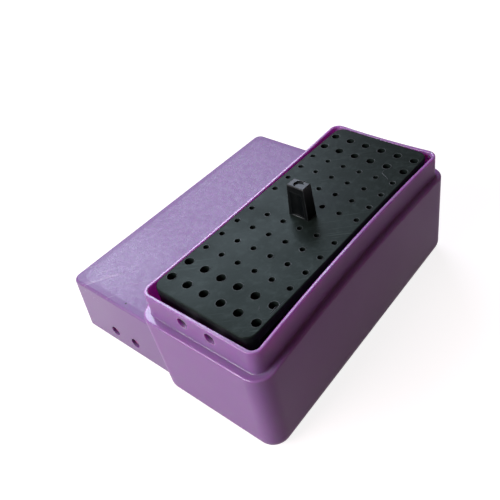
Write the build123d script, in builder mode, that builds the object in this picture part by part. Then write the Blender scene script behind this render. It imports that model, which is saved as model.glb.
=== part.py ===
"""Dental bur block: a moulded case, its lift-off cover standing beside it, and the loose rack.

The rack is a bench: a plate drilled for the bur shanks, on two end walls that stand on the case
floor, with a second plate of blind sockets between them and a post to lift it by. Millimetres,
+Z up. The origin is the middle of the case's underside, and the long side lies along Y.
"""
import os
from build123d import *

os.makedirs("parts", exist_ok=True)

# Bur holes: two halves of the grid, one each side of the handle
column_pitch = 6.35
row_pitch = 6.9
columns = 6
narrow_rows = 4           # rows nearest the handle, for 1.6 mm shanks
wide_rows = 2             # outermost rows, for 2.35 mm shanks
handle_gap = 11.5         # from the last row of one half to the first of the other
narrow_hole = 1.8
wide_hole = 2.8
shank_play = 0.1          # a socket is this much tighter than the hole above it

# Rack
side_margin = 2.325       # from the outer columns to the long edges of the plate
end_margin = 5.75         # from the outer rows to its ends
rack_corner = 3.4
rack_above_rim = 0.2      # the plate stands this much proud of the case
rack_round = 0.4
plate_thickness = 3.0
end_wall = 2.2
leg_return = 1.4          # the end walls turn this far along the long sides at the corners
leg_side = 1.8            # thickness of those returns
rack_shift_x = -0.65      # where the rack has settled in the case
rack_shift_y = 0.4
rack_turn = -1.0          # degrees about Z

# Case
rack_play_x = 1.75        # from the rack to the mouth of the case, on each side
rack_play_y = 1.5
neck_wall = 1.2
neck_height = 8.3
neck_corner = 3.4
neck_root = 0.3           # fillet where the neck meets the shoulder
shoulder_step_x = 2.25    # width of the shoulder that carries the cover, on the long sides
shoulder_step_y = 2.4     # and at the ends
shoulder_height = 34.1
shoulder_round = 0.5
case_corner = 5.8
case_draft = 0.6          # the underside is this much smaller on every side
foot_height = 5.4         # the underside and its rounding, below the drafted walls
foot_land = 0.4           # upright wall between the rounding and the drafted walls
floor = 2.5
rim_round = 0.4
cavity_draft = 0.15       # the cavity is this much smaller at the floor on every side
bow_right = 1.4           # the walls have warped inward by this much at their middle
bow_left = 0.7
bow_far = 0.8

# Steam vents, two in each end, in line when the cover is on
vent_diameter = 3.7
vent_spacing = 10.0
vent_height = 5.0         # above the shoulder, and above the cover's edge

# Cover
cover_inset_x = 0.8       # smaller than the case on each long side
cover_inset_y = 0.4       # and at each end
cover_wall = 1.0
cover_corner = 3.0
cover_draft = 0.9         # the top is this much smaller on every side
cover_round = 1.0
post_room = 0.2           # over the handle when the cover is on
cover_gap = 0.2           # between the cover and the case as they stand side by side
cover_shift = 4.0         # the cover stands this much further back than the case

# Socket plate, snapped into a groove in each end wall
socket_drop = 12.0        # from the top of the rack to the top of the socket plate
socket_plate_thickness = 4.0
socket_depth = 2.5
groove_depth = 0.9
plate_play = 0.1

# Handle
handle_height = 11.5
handle_foot_x = 7.3
handle_foot_y = 4.2
handle_top_x = 6.1
handle_top_y = 3.8
handle_round = 0.3
grip_width = 5.2          # the scoop in the front and back
grip_height = 8.8
grip_from_foot = 0.4
grip_depth = 0.7
dimple_diameter = 3.2
dimple_depth = 0.6
tang_x = 4.8
tang_y = 2.4
tang_play = 0.1
barb_reach = 0.5
barb_height = 1.8

# Worked out from the sizes above
column_x = [(column - (columns - 1) / 2) * column_pitch for column in range(columns)]
row_y = [handle_gap / 2 + row * row_pitch for row in range(narrow_rows + wide_rows)]
rack_width = 2 * (column_x[-1] + side_margin)
rack_length = 2 * (row_y[-1] + end_margin)
mouth_width = rack_width + 2 * rack_play_x
mouth_length = rack_length + 2 * rack_play_y
neck_width = mouth_width + 2 * neck_wall
neck_length = mouth_length + 2 * neck_wall
case_width = neck_width + 2 * shoulder_step_x
case_length = neck_length + 2 * shoulder_step_y
foot_width = case_width - 2 * case_draft
foot_length = case_length - 2 * case_draft
foot_round = foot_height - foot_land
bows = (bow_right, bow_left, bow_far)
rim_height = shoulder_height + neck_height
rack_height = rim_height + rack_above_rim - floor
cover_width = case_width - 2 * cover_inset_x
cover_length = case_length - 2 * cover_inset_y
cover_height = neck_height + rack_above_rim + handle_height + post_room + cover_wall
cover_centre = (-(foot_width + cover_width) / 2 - cover_gap, cover_shift)


def grid(rows):
    """Hole centres of these rows, in both halves of the rack."""
    return [(x, half * y) for half in (-1, 1) for y in rows for x in column_x]


narrow_centres = grid(row_y[:narrow_rows])
wide_centres = grid(row_y[narrow_rows:])


def side(start, end, inward):
    """One side, straight or bowed by this much along x and y at its middle."""
    if inward == (0, 0):
        return Line(start, end)
    middle = ((start[0] + end[0]) / 2 + inward[0], (start[1] + end[1]) / 2 + inward[1])
    return ThreePointArc(start, middle, end)


def outline(width, length, corner, inward=(0, 0, 0)):
    """Rounded rectangle whose right, left and far sides may bow inward."""
    x, y = width / 2, length / 2
    right, left, far = inward
    with BuildSketch(mode=Mode.PRIVATE) as shape:
        with BuildLine():
            Line((-x, -y), (x, -y))
            side((x, -y), (x, y), (-right, 0))
            side((x, y), (-x, y), (0, -far))
            side((-x, y), (-x, -y), (left, 0))
        make_face()
        fillet(shape.vertices(), corner)
    return shape.sketch


def face_at(part, height):
    """The flat face that lies at this height."""
    return part.faces().filter_by(Axis.Z).filter_by_position(Axis.Z, height - 0.01, height + 0.01)[0]


# Case: a straight foot, then walls that go from its outline to a bowed shoulder and neck
with BuildPart() as case:
    with BuildSketch():
        add(outline(foot_width, foot_length, case_corner))
    extrude(amount=foot_height)
    fillet(case.edges().group_by(Axis.Z)[0], foot_round)
    with BuildSketch(Plane.XY.offset(foot_height)):
        add(outline(foot_width, foot_length, case_corner))
    with BuildSketch(Plane.XY.offset(shoulder_height)):
        add(outline(case_width, case_length, case_corner, bows))
    loft()
    with BuildSketch(Plane.XY.offset(shoulder_height)):
        add(outline(neck_width, neck_length, neck_corner, bows))
    extrude(amount=neck_height)
    fillet(face_at(case, shoulder_height).inner_wires()[0].edges(), neck_root)
    fillet(face_at(case, shoulder_height).outer_wire().edges(), shoulder_round)
    # Cavity, drafted so that its core draws out through the neck
    with BuildSketch(Plane.XY.offset(floor)):
        add(outline(mouth_width - 2 * cavity_draft, mouth_length - 2 * cavity_draft,
                    neck_corner - neck_wall))
    with BuildSketch(Plane.XY.offset(rim_height)):
        add(outline(mouth_width, mouth_length, neck_corner - neck_wall, bows))
    loft(mode=Mode.SUBTRACT)
    fillet(face_at(case, rim_height).edges(), rim_round)
    with BuildSketch(Plane.XZ):
        with Locations((0, shoulder_height + vent_height)):
            with GridLocations(vent_spacing, 1, 2, 1):
                Circle(vent_diameter / 2)
    extrude(amount=case_length, both=True, mode=Mode.SUBTRACT)
case.part.label = "case"
export_step(case.part, "parts/case.step")

# Cover: a drafted shell, standing on its open edge beside the case
cover_plane = Plane(origin=(*cover_centre, 0))
inner_draft = cover_draft * (1 - cover_wall / cover_height)
with BuildPart() as cover:
    for level, inset in ((0, 0), (cover_height, cover_draft)):
        with BuildSketch(cover_plane.offset(level)):
            RectangleRounded(cover_width - 2 * inset, cover_length - 2 * inset, cover_corner)
    loft()
    fillet(cover.faces().sort_by(Axis.Z)[-1].edges(), cover_round)
    for level, inset in ((0, cover_wall), (cover_height - cover_wall, cover_wall + inner_draft)):
        with BuildSketch(cover_plane.offset(level)):
            RectangleRounded(cover_width - 2 * inset, cover_length - 2 * inset,
                             cover_corner - cover_wall)
    loft(mode=Mode.SUBTRACT)
    with BuildSketch(Plane(origin=(*cover_centre, vent_height), x_dir=(1, 0, 0), z_dir=(0, -1, 0))):
        with GridLocations(vent_spacing, 1, 2, 1):
            Circle(vent_diameter / 2)
    extrude(amount=cover_length, both=True, mode=Mode.SUBTRACT)
cover.part.label = "cover"
export_step(cover.part, "parts/cover.step")

# Rack: the drilled plate and its two end walls in one moulding
rack_plane = Plane(origin=(rack_shift_x, rack_shift_y, floor),
                   x_dir=Vector(1, 0, 0).rotate(Axis.Z, rack_turn))
plate_plane = rack_plane.offset(rack_height)
socket_plate_plane = plate_plane.offset(-socket_drop)
wall_inner_y = rack_length / 2 - end_wall
with BuildPart() as rack:
    with BuildSketch(plate_plane):
        RectangleRounded(rack_width, rack_length, rack_corner)
    extrude(amount=-plate_thickness)
    fillet(rack.faces().sort_by(Axis.Z)[-1].edges(), rack_round)
    with BuildSketch(rack_plane):
        RectangleRounded(rack_width, rack_length, rack_corner)
        Rectangle(rack_width - 2 * leg_side, 2 * wall_inner_y, mode=Mode.SUBTRACT)
        Rectangle(rack_width, 2 * (wall_inner_y - leg_return), mode=Mode.SUBTRACT)
    extrude(amount=rack_height - plate_thickness)
    with BuildSketch(plate_plane):
        with Locations(*narrow_centres):
            Circle(narrow_hole / 2)
        with Locations(*wide_centres):
            Circle(wide_hole / 2)
        Rectangle(tang_x + 2 * tang_play, tang_y + 2 * tang_play)
    extrude(amount=-plate_thickness, mode=Mode.SUBTRACT)
    with BuildSketch(socket_plate_plane.offset(plate_play)):
        Rectangle(rack_width - 2 * leg_side, 2 * (wall_inner_y + groove_depth))
    extrude(amount=-socket_plate_thickness - plate_play, mode=Mode.SUBTRACT)
rack.part.label = "rack"
export_step(rack.part, "parts/rack.step")

# Socket plate: blind sockets under the holes, with a tongue at each end for the groove
with BuildPart() as socket_plate:
    with BuildSketch(socket_plate_plane):
        Rectangle(rack_width, 2 * (wall_inner_y - leg_return - plate_play))
        Rectangle(rack_width - 2 * (leg_side + plate_play),
                  2 * (wall_inner_y + groove_depth - plate_play))
    extrude(amount=-socket_plate_thickness)
    with BuildSketch(socket_plate_plane):
        with Locations(*narrow_centres):
            Circle((narrow_hole - shank_play) / 2)
        with Locations(*wide_centres):
            Circle((wide_hole - shank_play) / 2)
    extrude(amount=-socket_depth, mode=Mode.SUBTRACT)
socket_plate.part.label = "socket_plate"
export_step(socket_plate.part, "parts/socket_plate.step")

# Handle: a tapered post scooped front and back for the fingers, with a barbed tang through the plate
with BuildPart() as handle:
    with BuildSketch(plate_plane):
        Rectangle(handle_foot_x, handle_foot_y)
    with BuildSketch(plate_plane.offset(handle_height)):
        Rectangle(handle_top_x, handle_top_y)
    loft()
    fillet(handle.edges().filter_by(Axis.Z, reverse=True).group_by(Axis.Z)[-1], handle_round)
    grip_radius = (grip_width ** 2 / 4 + grip_depth ** 2) / (2 * grip_depth)
    grip_centre = handle_foot_y / 2 + grip_radius - grip_depth
    with BuildSketch(plate_plane.offset(grip_from_foot)):
        with Locations((0, -grip_centre), (0, grip_centre)):
            Circle(grip_radius)
    extrude(amount=grip_height, mode=Mode.SUBTRACT)
    with BuildSketch(plate_plane.offset(handle_height)):
        Circle(dimple_diameter / 2)
    extrude(amount=-dimple_depth, mode=Mode.SUBTRACT)
    with BuildSketch(plate_plane):
        Rectangle(tang_x, tang_y)
    extrude(amount=-plate_thickness)
    with BuildSketch(plate_plane.offset(-plate_thickness)):
        Rectangle(tang_x + 2 * barb_reach, tang_y)
    with BuildSketch(plate_plane.offset(-plate_thickness - barb_height)):
        Rectangle(tang_x - 2 * barb_reach, tang_y)
    loft()
handle.part.label = "handle"
export_step(handle.part, "parts/handle.step")
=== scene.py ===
import math
import random

import bmesh
import bpy
from mathutils import Matrix, Vector


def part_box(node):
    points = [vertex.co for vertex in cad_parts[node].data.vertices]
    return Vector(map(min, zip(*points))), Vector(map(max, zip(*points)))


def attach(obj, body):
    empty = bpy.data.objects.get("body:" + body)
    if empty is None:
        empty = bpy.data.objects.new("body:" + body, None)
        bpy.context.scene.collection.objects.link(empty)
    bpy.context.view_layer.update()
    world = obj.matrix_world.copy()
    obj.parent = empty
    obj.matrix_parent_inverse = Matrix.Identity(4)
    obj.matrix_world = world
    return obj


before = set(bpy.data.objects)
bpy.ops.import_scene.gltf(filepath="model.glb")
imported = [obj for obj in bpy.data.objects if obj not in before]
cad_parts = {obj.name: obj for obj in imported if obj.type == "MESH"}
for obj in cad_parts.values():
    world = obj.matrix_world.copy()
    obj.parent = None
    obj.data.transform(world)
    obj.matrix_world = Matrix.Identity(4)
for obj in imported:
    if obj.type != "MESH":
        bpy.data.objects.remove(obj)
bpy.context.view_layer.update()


# Studio: a white sweep with the block standing on it, a cool window-like softbox
# behind it on the left, a neutral one in front, and a camera that looks down from
# the near right.

def new_material(name):
    """An empty node material and its output node."""
    material = bpy.data.materials.new(name)
    material.use_nodes = True
    material.node_tree.nodes.clear()
    return material, material.node_tree.nodes.new("ShaderNodeOutputMaterial")


def put(tree, kind, inputs=None, **settings):
    """A node with its settings and inputs. An input is a value, or a socket to link from."""
    node = tree.nodes.new(kind)
    for key, value in settings.items():
        setattr(node, key, value)
    for key, value in (inputs or {}).items():
        if isinstance(value, bpy.types.NodeSocket):
            tree.links.new(value, node.inputs[key])
        else:
            node.inputs[key].default_value = value
    return node


def sums(tree, operation, *values):
    """The result of a Math node."""
    return put(tree, "ShaderNodeMath", dict(enumerate(values)), operation=operation).outputs[0]


def object_place(tree):
    """Each point's place on the object, in metres."""
    return put(tree, "ShaderNodeTexCoord").outputs["Object"]


def blend_colour(tree, mask, under, over):
    """The under colour, and the over colour where the mask is 1."""
    return put(tree, "ShaderNodeMix", {0: mask, 6: under, 7: over}, data_type="RGBA").outputs[2]


def mesh_object(name, bm, material):
    """The bmesh as a named, smooth object in the scene, with its material."""
    bmesh.ops.recalc_face_normals(bm, faces=bm.faces)
    mesh = bpy.data.meshes.new(name)
    bm.to_mesh(mesh)
    bm.free()
    mesh.materials.append(material)
    mesh.shade_smooth()
    made = bpy.data.objects.new(name, mesh)
    bpy.context.scene.collection.objects.link(made)
    return made


sweep_radius = 3.0
sweep_colour = (0.37, 0.32, 0.33, 1)
sweep_glow = 0.86                     # what camera and mirror rays see on top of the light
painted_vent_glow = (0.42, 0.07, 0.26, 1)   # painted glow on the floor under the cover, standing in for light come through the cover and seen in its vents
cover_wall_in = 0.001                 # the painted glow patch ends this far inside the cover's box
plain_white = (1, 1, 1, 1)
cover_low, cover_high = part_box("cover")
cover_middle = [(low + high) / 2 for low, high in zip(cover_low, cover_high)]
cover_half = [(high - low) / 2 for low, high in zip(cover_low, cover_high)]

material, output = new_material("white_sweep")
tree = material.node_tree
rays = put(tree, "ShaderNodeLightPath").outputs
mirrored = sums(tree, "MAXIMUM", rays["Is Glossy Ray"], rays["Is Transmission Ray"])
seen = sums(tree, "MAXIMUM", rays["Is Camera Ray"], mirrored)
floor_axes = put(tree, "ShaderNodeSeparateXYZ", {0: object_place(tree)}).outputs
past = []
for axis in (0, 1):
    off = sums(tree, "SUBTRACT", floor_axes[axis], cover_middle[axis])
    past.append(sums(tree, "GREATER_THAN", sums(tree, "ABSOLUTE", off),
                     cover_half[axis] - cover_wall_in))
outside = sums(tree, "MAXIMUM", past[1], past[0])
# The floor glows magenta under the cover, a painted glow that camera and mirror rays see
glow = put(tree, "ShaderNodeEmission", {
    "Color": blend_colour(tree, outside, painted_vent_glow, plain_white),
    "Strength": sums(tree, "MULTIPLY", seen, sweep_glow)})
paper = put(tree, "ShaderNodeBsdfDiffuse", {"Color": sweep_colour})
both = put(tree, "ShaderNodeAddShader", {0: paper.outputs[0], 1: glow.outputs[0]})
tree.links.new(both.outputs[0], output.inputs["Surface"])

bm = bmesh.new()
bmesh.ops.create_circle(bm, cap_ends=True, segments=96, radius=sweep_radius)
mesh_object("sweep", bm, material)

room_colour = (1.0, 0.52, 0.54, 1)
room_strength = 0.11

world = bpy.data.worlds.new("studio_room")
bpy.context.scene.world = world
world.use_nodes = True
tree = world.node_tree
tree.nodes.clear()
rays = put(tree, "ShaderNodeLightPath").outputs
room = put(tree, "ShaderNodeBackground", {"Color": room_colour, "Strength": room_strength})
white = put(tree, "ShaderNodeBackground", {"Color": plain_white, "Strength": 1.0})
view = put(tree, "ShaderNodeMixShader", {
    0: rays["Is Camera Ray"], 1: room.outputs[0], 2: white.outputs[0]})
put(tree, "ShaderNodeOutputWorld", {"Surface": view.outputs[0]})

lamp_aim = Vector((-0.02, 0, 0.02))
lamp_distance = 0.80


def softbox(name, azimuth, elevation, width, height, power, colour):
    """A rectangular lamp aimed at the block. Azimuth is from +X towards +Y, in degrees."""
    a, e = math.radians(azimuth), math.radians(elevation)
    away = Vector((math.cos(a) * math.cos(e), math.sin(a) * math.cos(e), math.sin(e)))
    lamp = bpy.data.lights.new(name, "AREA")
    lamp.shape = "RECTANGLE"
    lamp.size, lamp.size_y = width, height
    lamp.energy, lamp.color = power, colour
    made = bpy.data.objects.new(name, lamp)
    made.location = lamp_aim + away * lamp_distance
    made.rotation_mode = "QUATERNION"
    made.rotation_quaternion = away.to_track_quat("Z", "Y")
    bpy.context.scene.collection.objects.link(made)


softbox("window", 152, 42, 0.58, 0.32, 4.5, (0.76, 0.84, 1.0))
softbox("front_fill", 250, 34, 0.50, 0.36, 6.0, (1.0, 0.98, 1.0))

camera_place = (0.09619, -0.10802, 0.16259)
camera_turn = (51.7535, 5.9639, 35.8089)     # degrees about X, Y and Z
camera_lens = 44.317
camera_shift = (-0.12233, -0.10794)          # the photograph is an off-centre crop

camera_data = bpy.data.cameras.new("photograph_view")
camera = bpy.data.objects.new("photograph_view", camera_data)
camera.location = camera_place
camera.rotation_euler = [math.radians(angle) for angle in camera_turn]
camera_data.sensor_width = 36
camera_data.lens = camera_lens
camera_data.shift_x, camera_data.shift_y = camera_shift
camera_data.clip_start, camera_data.clip_end = 0.005, 10
bpy.context.scene.collection.objects.link(camera)
bpy.context.scene.camera = camera
bpy.context.scene.view_settings.view_transform = "Standard"


# Case: one injection moulding in mauve plastic, a straight foot and a warped
# shoulder and neck. Light soaks through the thin neck, and the outside has the
# skin of the mould, paler where its edges have been rubbed and where a
# highlight is painted along them.

FLOAT, VECTOR = "NodeSocketFloat", "NodeSocketVector"
plastic_ior = 1.49

mauve_deep = (0.262, 0.142, 0.345, 1)
mauve_light = (0.305, 0.170, 0.390, 1)
# pale mauve of rubbed edges and scuffs, also used for highlights painted along the edges
mauve_worn_and_highlight = (0.74, 0.62, 0.78, 1)
mauve_speck = (0.045, 0.018, 0.050, 1)
mauve_soak = (1.0, 0.10, 0.72)        # how far red, green and blue travel inside, relative
mauve_soak_depth = 0.0065
case_soak_share = 0.60
# width and strength of the rubbed edges and their painted highlights
case_rub_and_highlight_width, case_rub_and_highlight = 0.0005, 0.34
shut_level = (0.030, 0.031)           # the faces that the cover shuts on are above this


def new_group(name, inputs, outputs):
    """A shader node group with these sockets, each input with its default."""
    group = bpy.data.node_groups.new(name, "ShaderNodeTree")
    for label, value in inputs.items():
        socket = group.interface.new_socket(label, in_out="INPUT", socket_type=FLOAT)
        socket.default_value = value
    for label, kind in outputs.items():
        group.interface.new_socket(label, in_out="OUTPUT", socket_type=kind)
    given = group.nodes.new("NodeGroupInput").outputs
    return group, given, group.nodes.new("NodeGroupOutput").inputs


def placed(tree, group, values):
    """The outputs of a node group placed in the material, with its own values."""
    return put(tree, "ShaderNodeGroup", values, node_tree=group).outputs


def noise(tree, place, scale, detail, **more):
    """The value of a noise texture."""
    inputs = {"Vector": place, "Scale": scale, "Detail": detail, **more}
    return put(tree, "ShaderNodeTexNoise", inputs).outputs[0]


def ramp(tree, value, low, high, start=0.0, end=1.0):
    """The value, from start at low to end at high, clamped."""
    inputs = {0: value, 1: low, 2: high, 3: start, 4: end}
    return put(tree, "ShaderNodeMapRange", inputs).outputs[0]


# The eroded skin of the mould: a fine normal and a roughness that wanders
mould_skin, given, result = new_group("mould_skin", {
    "Grains per metre": 2600.0, "Depth": 0.00001, "Roughness": 0.4, "Wander": 0.1},
    {"Normal": VECTOR, "Roughness": FLOAT})
place = object_place(mould_skin)
fine = noise(mould_skin, place, given["Grains per metre"], 2.0)
broad = noise(mould_skin, place, 70.0, 4.0)
bump = put(mould_skin, "ShaderNodeBump", {"Height": fine, "Distance": given["Depth"]})
wander = sums(mould_skin, "MULTIPLY", sums(mould_skin, "SUBTRACT", broad, 0.5), given["Wander"])
mould_skin.links.new(bump.outputs[0], result["Normal"])
mould_skin.links.new(sums(mould_skin, "ADD", given["Roughness"], wander), result["Roughness"])

# Rubbed edges and painted edge highlights: a mask along the edges, broken up by noise
edge_rub_and_highlight, given, result = new_group("edge_rub_and_highlight", {"Width": 0.0004, "Amount": 1.0},
                                    {"Mask": FLOAT})
rounded = put(edge_rub_and_highlight, "ShaderNodeBevel", {"Radius": given["Width"]}, samples=6)
true = put(edge_rub_and_highlight, "ShaderNodeNewGeometry")
along = put(edge_rub_and_highlight, "ShaderNodeVectorMath", {0: rounded.outputs[0], 1: true.outputs["Normal"]},
            operation="DOT_PRODUCT")
breaks = noise(edge_rub_and_highlight, object_place(edge_rub_and_highlight), 260.0, 3.0)
patchy = ramp(edge_rub_and_highlight, breaks, 0.35, 0.62, 0.25, 1.0)
turned = ramp(edge_rub_and_highlight, along.outputs["Value"], 0.995, 0.90)
mask = sums(edge_rub_and_highlight, "MULTIPLY", sums(edge_rub_and_highlight, "MULTIPLY", turned, patchy), given["Amount"])
edge_rub_and_highlight.links.new(mask, result["Mask"])

# Fine scratches that run one way, thinned out by a broad noise
scratched, given, result = new_group("scratched", {
    "Direction": 0.6, "Lines per metre": 700.0, "Cover": 0.5}, {"Mask": FLOAT})
turn = put(scratched, "ShaderNodeVectorRotate", {
    "Vector": object_place(scratched), "Angle": given["Direction"]}, rotation_type="Z_AXIS")
long = put(scratched, "ShaderNodeVectorMath", {0: turn.outputs[0], 1: (0.05, 1.0, 1.0)},
           operation="MULTIPLY")
lines = noise(scratched, long.outputs[0], given["Lines per metre"], 2.0)
areas = noise(scratched, object_place(scratched), 60.0, 2.0)
crisp = ramp(scratched, lines, 0.60, 0.70)
where = ramp(scratched, sums(scratched, "ADD", areas, given["Cover"]), 0.95, 1.15)
scratched.links.new(sums(scratched, "MULTIPLY", crisp, where), result["Mask"])


def mauve_body(tree, deep, light, rub_and_highlight_width, rub_and_highlight_amount):
    """The moulding's own colour: a little uneven, a few specks, paler where it is rubbed and
    where a highlight is painted along its edges.
    """
    place = object_place(tree)
    dots = put(tree, "ShaderNodeTexVoronoi", {"Vector": place, "Scale": 55.0})
    specks = ramp(tree, dots.outputs["Distance"], 0.028, 0.016)
    rub_and_highlight = placed(tree, edge_rub_and_highlight, {"Width": rub_and_highlight_width, "Amount": rub_and_highlight_amount})
    body = blend_colour(tree, noise(tree, place, 45.0, 3.0), deep, light)
    speckled = blend_colour(tree, specks, body, mauve_speck)
    return blend_colour(tree, rub_and_highlight["Mask"], speckled, mauve_worn_and_highlight)


def dress(node, material):
    """The material on every slot of a carried-over node."""
    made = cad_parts[node]
    if not made.material_slots:
        made.data.materials.append(material)
    for place in made.material_slots:
        place.material = material


material, output = new_material("mauve_case")
tree = material.node_tree
skin = placed(tree, mould_skin, {"Roughness": 0.42, "Wander": 0.12, "Depth": 0.000008})
true = put(tree, "ShaderNodeNewGeometry")
facing = put(tree, "ShaderNodeSeparateXYZ", {0: true.outputs["Normal"]})
level = put(tree, "ShaderNodeSeparateXYZ", {0: object_place(tree)})
shut_face = sums(tree, "MULTIPLY", ramp(tree, facing.outputs[2], 0.35, 0.8),
                 ramp(tree, level.outputs[2], *shut_level))
shader = put(tree, "ShaderNodeBsdfPrincipled", {
    "Base Color": mauve_body(tree, mauve_deep, mauve_light, case_rub_and_highlight_width, case_rub_and_highlight),
    "Roughness": skin["Roughness"], "Normal": skin["Normal"],
    "IOR": plastic_ior, "Specular IOR Level": 0.08,
    "Coat Weight": shut_face, "Coat Roughness": 0.16, "Coat IOR": 1.6,
    "Subsurface Weight": case_soak_share, "Subsurface Radius": mauve_soak,
    "Subsurface Scale": mauve_soak_depth})
tree.links.new(shader.outputs[0], output.inputs["Surface"])
dress("case", material)


# Rack and socket plate: black plastic mouldings, the socket plate snapped in
# under the drilled one. The drilled plate is scuffed, and a little cloudy from
# many turns in the autoclave.

black_body = (0.0105, 0.0160, 0.0140, 1)
black_worn_and_highlight = (0.034, 0.048, 0.045, 1)
black_sheen = (0.80, 1.0, 0.88, 1)

material, output = new_material("black_rack")
tree = material.node_tree
skin = placed(tree, mould_skin, {
    "Grains per metre": 1300.0, "Roughness": 0.38, "Wander": 0.30, "Depth": 0.000040})
scuffs = placed(tree, scratched, {"Direction": -0.7, "Lines per metre": 1700.0, "Cover": 0.50})
rub_and_highlight = placed(tree, edge_rub_and_highlight, {"Width": 0.0006})
hazy = ramp(tree, noise(tree, object_place(tree), 420.0, 5.0), 0.50, 0.78, 0.0, 0.6)
# Paler where hazy, scratched and rubbed, and along the edges where a highlight is painted
worn_and_highlight = sums(tree, "MAXIMUM", hazy, sums(tree, "MAXIMUM", scuffs["Mask"], rub_and_highlight["Mask"]))
shader = put(tree, "ShaderNodeBsdfPrincipled", {
    "Base Color": blend_colour(tree, worn_and_highlight, black_body, black_worn_and_highlight),
    "Roughness": skin["Roughness"], "Normal": skin["Normal"],
    "IOR": plastic_ior, "Specular IOR Level": 0.12, "Specular Tint": black_sheen})
tree.links.new(shader.outputs[0], output.inputs["Surface"])
dress("rack", material)
dress("socket_plate", material)


# Burrs: the lip of plastic that the drill and long use have turned up round
# each hole of the rack, and the ridges thrown up beside its scratches.

column_pitch, row_pitch, handle_gap = 0.00635, 0.0069, 0.0115
columns, narrow_rows, wide_rows = 6, 4, 2
narrow_radius, wide_radius = 0.0009, 0.0014
rack_turn = math.radians(-1.0)
rack_place = (-0.00065, 0.0004)
plate_top = 0.0426
burr_sunk = 0.00002          # the foot of a burr lies this far inside the plate
burr_steps = 28
burr_heights, burr_widths = (0.00003, 0.00011), (0.00020, 0.00034)
burr_leanings = (-40, 60)    # degrees from +X towards +Y
burr_dark = (0.012, 0.015, 0.016, 1)
burr_pale = (0.10, 0.115, 0.12, 1)
scratch_width, scratch_height = 0.00034, 0.00009
scratch_paths = (            # in mm, on the plate
    ((17.15, -36.5), (17.35, -35.2), (17.20, -33.8), (17.40, -32.2), (17.25, -30.3)),
    ((16.65, -35.9), (16.80, -34.9), (16.70, -33.9), (16.85, -32.8)),
    ((12.7, -35.4), (13.1, -35.9), (13.5, -36.5), (14.0, -36.9)),
    ((10.0, 31.25), (10.0, 30.4), (10.2, 29.4), (11.2, 28.8), (12.5, 28.2), (13.4, 27.6),
     (14.2, 26.7)))

plate_frame = (Matrix.Translation((*rack_place, plate_top))
               @ Matrix.Rotation(rack_turn, 4, "Z"))
drill = random.Random(72)


def burr_ring(bm, x, y, radius, height, width, leaning):
    """A lip round one hole, highest on the side that it leans to."""
    rings = []
    for step in range(burr_steps):
        angle = 2 * math.pi * step / burr_steps
        swell = 0.30 + 0.70 * max(0.0, math.cos(angle - leaning)) ** 1.5
        rise = height * swell * drill.uniform(0.7, 1.15)
        reach = width * (0.55 + 0.45 * swell) * drill.uniform(0.85, 1.15)
        profile = ((0.00001, -burr_sunk), (0.00005, rise * 0.9), (reach * 0.45, rise),
                   (reach, -burr_sunk))
        rings.append([bm.verts.new(plate_frame @ Vector((
            x + math.cos(angle) * (radius + out), y + math.sin(angle) * (radius + out), up)))
            for out, up in profile])
    skin_over(bm, rings, rings[1:] + rings[:1])


def skin_over(bm, ones, twos):
    """Faces between each closed outline and the one after it."""
    for one, two in zip(ones, twos):
        count = len(one)
        for k in range(count):
            bm.faces.new((one[k], one[(k + 1) % count], two[(k + 1) % count], two[k]))


def ridge(bm, points, width, height, above=0.0):
    """A low ridge along these points of the plate, narrowing to a quarter of its width and
    height at both ends.
    """
    path = [Vector((x / 1000, y / 1000, above)) for x, y in points]
    sunk = Vector((0, 0, burr_sunk))
    rows = []
    for number, point in enumerate(path):
        ahead = path[min(number + 1, len(path) - 1)] - path[max(number - 1, 0)]
        side = Vector((-ahead.y, ahead.x, 0)).normalized()
        share = 0.25 + 0.75 * math.sin(math.pi * number / (len(path) - 1))
        half = side * width * share / 2
        rows.append([bm.verts.new(plate_frame @ corner) for corner in (
            point - half - sunk, point + Vector((0, 0, height * share)), point + half - sunk)])
    skin_over(bm, rows, rows[1:])
    bm.faces.new(rows[0])
    bm.faces.new(rows[-1])


material, output = new_material("black_burr")
tree = material.node_tree
skin = placed(tree, mould_skin, {"Roughness": 0.34, "Wander": 0.30})
cloud = noise(tree, object_place(tree), 300.0, 2.0)
shader = put(tree, "ShaderNodeBsdfPrincipled", {
    "Base Color": blend_colour(tree, cloud, burr_dark, burr_pale),
    "Roughness": skin["Roughness"], "Normal": skin["Normal"],
    "IOR": plastic_ior, "Specular IOR Level": 0.35})
tree.links.new(shader.outputs[0], output.inputs["Surface"])

bm = bmesh.new()
for half in (-1, 1):
    for row in range(narrow_rows + wide_rows):
        for column in range(columns):
            burr_ring(bm, (column - (columns - 1) / 2) * column_pitch,
                      half * (handle_gap / 2 + row * row_pitch),
                      wide_radius if row >= narrow_rows else narrow_radius,
                      drill.uniform(*burr_heights), drill.uniform(*burr_widths),
                      math.radians(drill.uniform(*burr_leanings)))
burrs = mesh_object("hole_burrs", bm, material)
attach(burrs, "root")

bm = bmesh.new()
for points in scratch_paths:
    ridge(bm, points, scratch_width, scratch_height)
scratches = mesh_object("plate_scratches", bm, material)
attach(scratches, "root")


# Handle: a black plastic post with a sunk panel front and back, pressed through
# the plate with a barbed tang. It is smoother than the plate, its edges paler with
# rubbing and a painted highlight, and has a line of flash along the panel's lower
# ledge, coloured pale as a painted highlight line.

black_post = (0.0012, 0.0018, 0.0024, 1)
post_rub_and_highlight = (0.085, 0.100, 0.105, 1)
# The flash ridge's colours, far paler than the post's black: a painted highlight line
flash_highlight_dim = (0.05, 0.06, 0.06, 1)
flash_highlight_bright = (0.26, 0.29, 0.29, 1)
flash_width, flash_height = 0.00024, 0.00010
foot_front = -2.0              # just inside the front of the foot, under the panel, in mm
flash_steps = (-2.5, -1.5, -0.5, 0.5, 1.5, 2.5)     # across the panel, in mm
panel_ledge = 0.0004           # height of the panel's lower ledge above the plate

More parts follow.
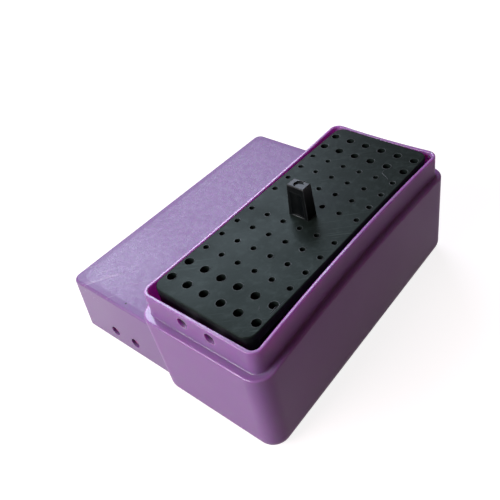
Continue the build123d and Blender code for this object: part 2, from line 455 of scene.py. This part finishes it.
material, output = new_material("black_post")
tree = material.node_tree
skin = placed(tree, mould_skin, {"Roughness": 0.30, "Wander": 0.14, "Depth": 0.000004})
rub_and_highlight = placed(tree, edge_rub_and_highlight, {"Width": 0.00030})
# Edges paler: rubbed, with a highlight painted along them
shader = put(tree, "ShaderNodeBsdfPrincipled", {
    "Base Color": blend_colour(tree, rub_and_highlight["Mask"], black_post, post_rub_and_highlight),
    "Roughness": skin["Roughness"], "Normal": skin["Normal"],
    "IOR": plastic_ior, "Specular IOR Level": 0.32})
tree.links.new(shader.outputs[0], output.inputs["Surface"])
dress("handle", material)

material, output = new_material("flash_painted_highlight")
tree = material.node_tree
skin = placed(tree, mould_skin, {"Roughness": 0.28, "Wander": 0.20})
cloud = noise(tree, object_place(tree), 500.0, 2.0)
shader = put(tree, "ShaderNodeBsdfPrincipled", {
    "Base Color": blend_colour(tree, cloud, flash_highlight_dim, flash_highlight_bright),
    "Roughness": skin["Roughness"], "Normal": skin["Normal"], "IOR": plastic_ior})
tree.links.new(shader.outputs[0], output.inputs["Surface"])

bm = bmesh.new()
ridge(bm, [(x, foot_front) for x in flash_steps], flash_width, flash_height, panel_ledge)
flash_ridge = mesh_object("post_flash_highlight", bm, material)
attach(flash_ridge, "root")


# Cover: the same mauve plastic, painted darker than the case as shade, standing on
# its open edge beside the case. Its top has a matt field inside a smooth border,
# scuffed at the near left corner by being set down and stacked.

# The case's mauve made darker for the cover: painted shade
cover_shaded_deep = (0.208, 0.108, 0.288, 1)
cover_shaded_light = (0.242, 0.131, 0.328, 1)
top_draft = 0.0009
border = 0.0026                # width of the smooth band round the matt field
field_corner = 0.0035
field_fade = 0.0002
scuff_place = (-0.061, -0.036, 0.021)
scuff_reach, scuff_full = 0.026, 0.006
dark_speck = (-0.0417, -0.04365, 0.0212)
speck_radii = (0.00042, 0.00028)
cover_rub_and_highlight_width, cover_rub_and_highlight = 0.0011, 0.45
cover_rub_and_highlight_level = (0.015, 0.018)      # only the top edge is rubbed and carries a painted highlight, not the vents

material, output = new_material("mauve_cover")
tree = material.node_tree
place = object_place(tree)
axes = put(tree, "ShaderNodeSeparateXYZ", {0: place}).outputs
past = []
for axis in (0, 1):
    half = cover_half[axis] - top_draft - border - field_corner
    off = sums(tree, "ABSOLUTE", sums(tree, "SUBTRACT", axes[axis], cover_middle[axis]))
    past.append(sums(tree, "MAXIMUM", sums(tree, "SUBTRACT", off, half), 0.0))
beyond = sums(tree, "SQRT", sums(tree, "ADD", sums(tree, "MULTIPLY", past[0], past[0]),
                                 sums(tree, "MULTIPLY", past[1], past[1])))
inside = ramp(tree, beyond, field_corner + field_fade, field_corner - field_fade)
up = ramp(tree, axes[2], cover_high[2] - 0.0004, cover_high[2] - 0.0001)
field = sums(tree, "MULTIPLY", inside, up)
band = sums(tree, "MULTIPLY", sums(tree, "SUBTRACT", 1.0, inside), up)

near = put(tree, "ShaderNodeVectorMath", {0: place, 1: scuff_place}, operation="DISTANCE")
handled = ramp(tree, near.outputs["Value"], scuff_reach, scuff_full)
scuffs = placed(tree, scratched, {"Direction": -0.95, "Lines per metre": 1200.0, "Cover": 0.50})
scuffed = sums(tree, "MULTIPLY", scuffs["Mask"], handled)
grain = noise(tree, place, 1700.0, 3.0, Roughness=0.6)
mottle = noise(tree, place, 640.0, 3.0)
relief = sums(tree, "SUBTRACT", sums(tree, "ADD", grain, mottle), 0.92)
height = sums(tree, "ADD", sums(tree, "MULTIPLY", relief, field),
              sums(tree, "MULTIPLY", scuffed, -0.8))
skin = placed(tree, mould_skin, {"Roughness": 0.38, "Wander": 0.03, "Depth": 0.000006})
bump = put(tree, "ShaderNodeBump", {"Height": height, "Distance": 0.000040,
                                    "Normal": skin["Normal"]})
patches = ramp(tree, mottle, 0.35, 0.68, -0.04, 0.06)
rough = sums(tree, "ADD", skin["Roughness"], sums(tree, "MULTIPLY", patches, field))
rough = sums(tree, "SUBTRACT", rough, sums(tree, "MULTIPLY", handled, 0.10))
rough = sums(tree, "ADD", rough, sums(tree, "MULTIPLY", band, 0.12))
from_speck = put(tree, "ShaderNodeVectorMath", {0: place, 1: dark_speck}, operation="DISTANCE")
speck = ramp(tree, from_speck.outputs["Value"], *speck_radii)
# The top edge's fillet is paler: rubbed, with a painted highlight line along it
top_edge = ramp(tree, axes[2], *cover_rub_and_highlight_level, 0.0, cover_rub_and_highlight)
body = mauve_body(tree, cover_shaded_deep, cover_shaded_light, cover_rub_and_highlight_width, top_edge)
pale = blend_colour(tree, sums(tree, "MULTIPLY", scuffed, 0.40), body, mauve_worn_and_highlight)
shader = put(tree, "ShaderNodeBsdfPrincipled", {
    "Base Color": blend_colour(tree, speck, pale, mauve_speck),
    "Roughness": rough, "Normal": bump.outputs[0],
    "IOR": plastic_ior, "Specular IOR Level": 0.46,
    "Subsurface Weight": 0.35, "Subsurface Radius": mauve_soak,
    "Subsurface Scale": mauve_soak_depth / 2})
tree.links.new(shader.outputs[0], output.inputs["Surface"])
dress("cover", material)
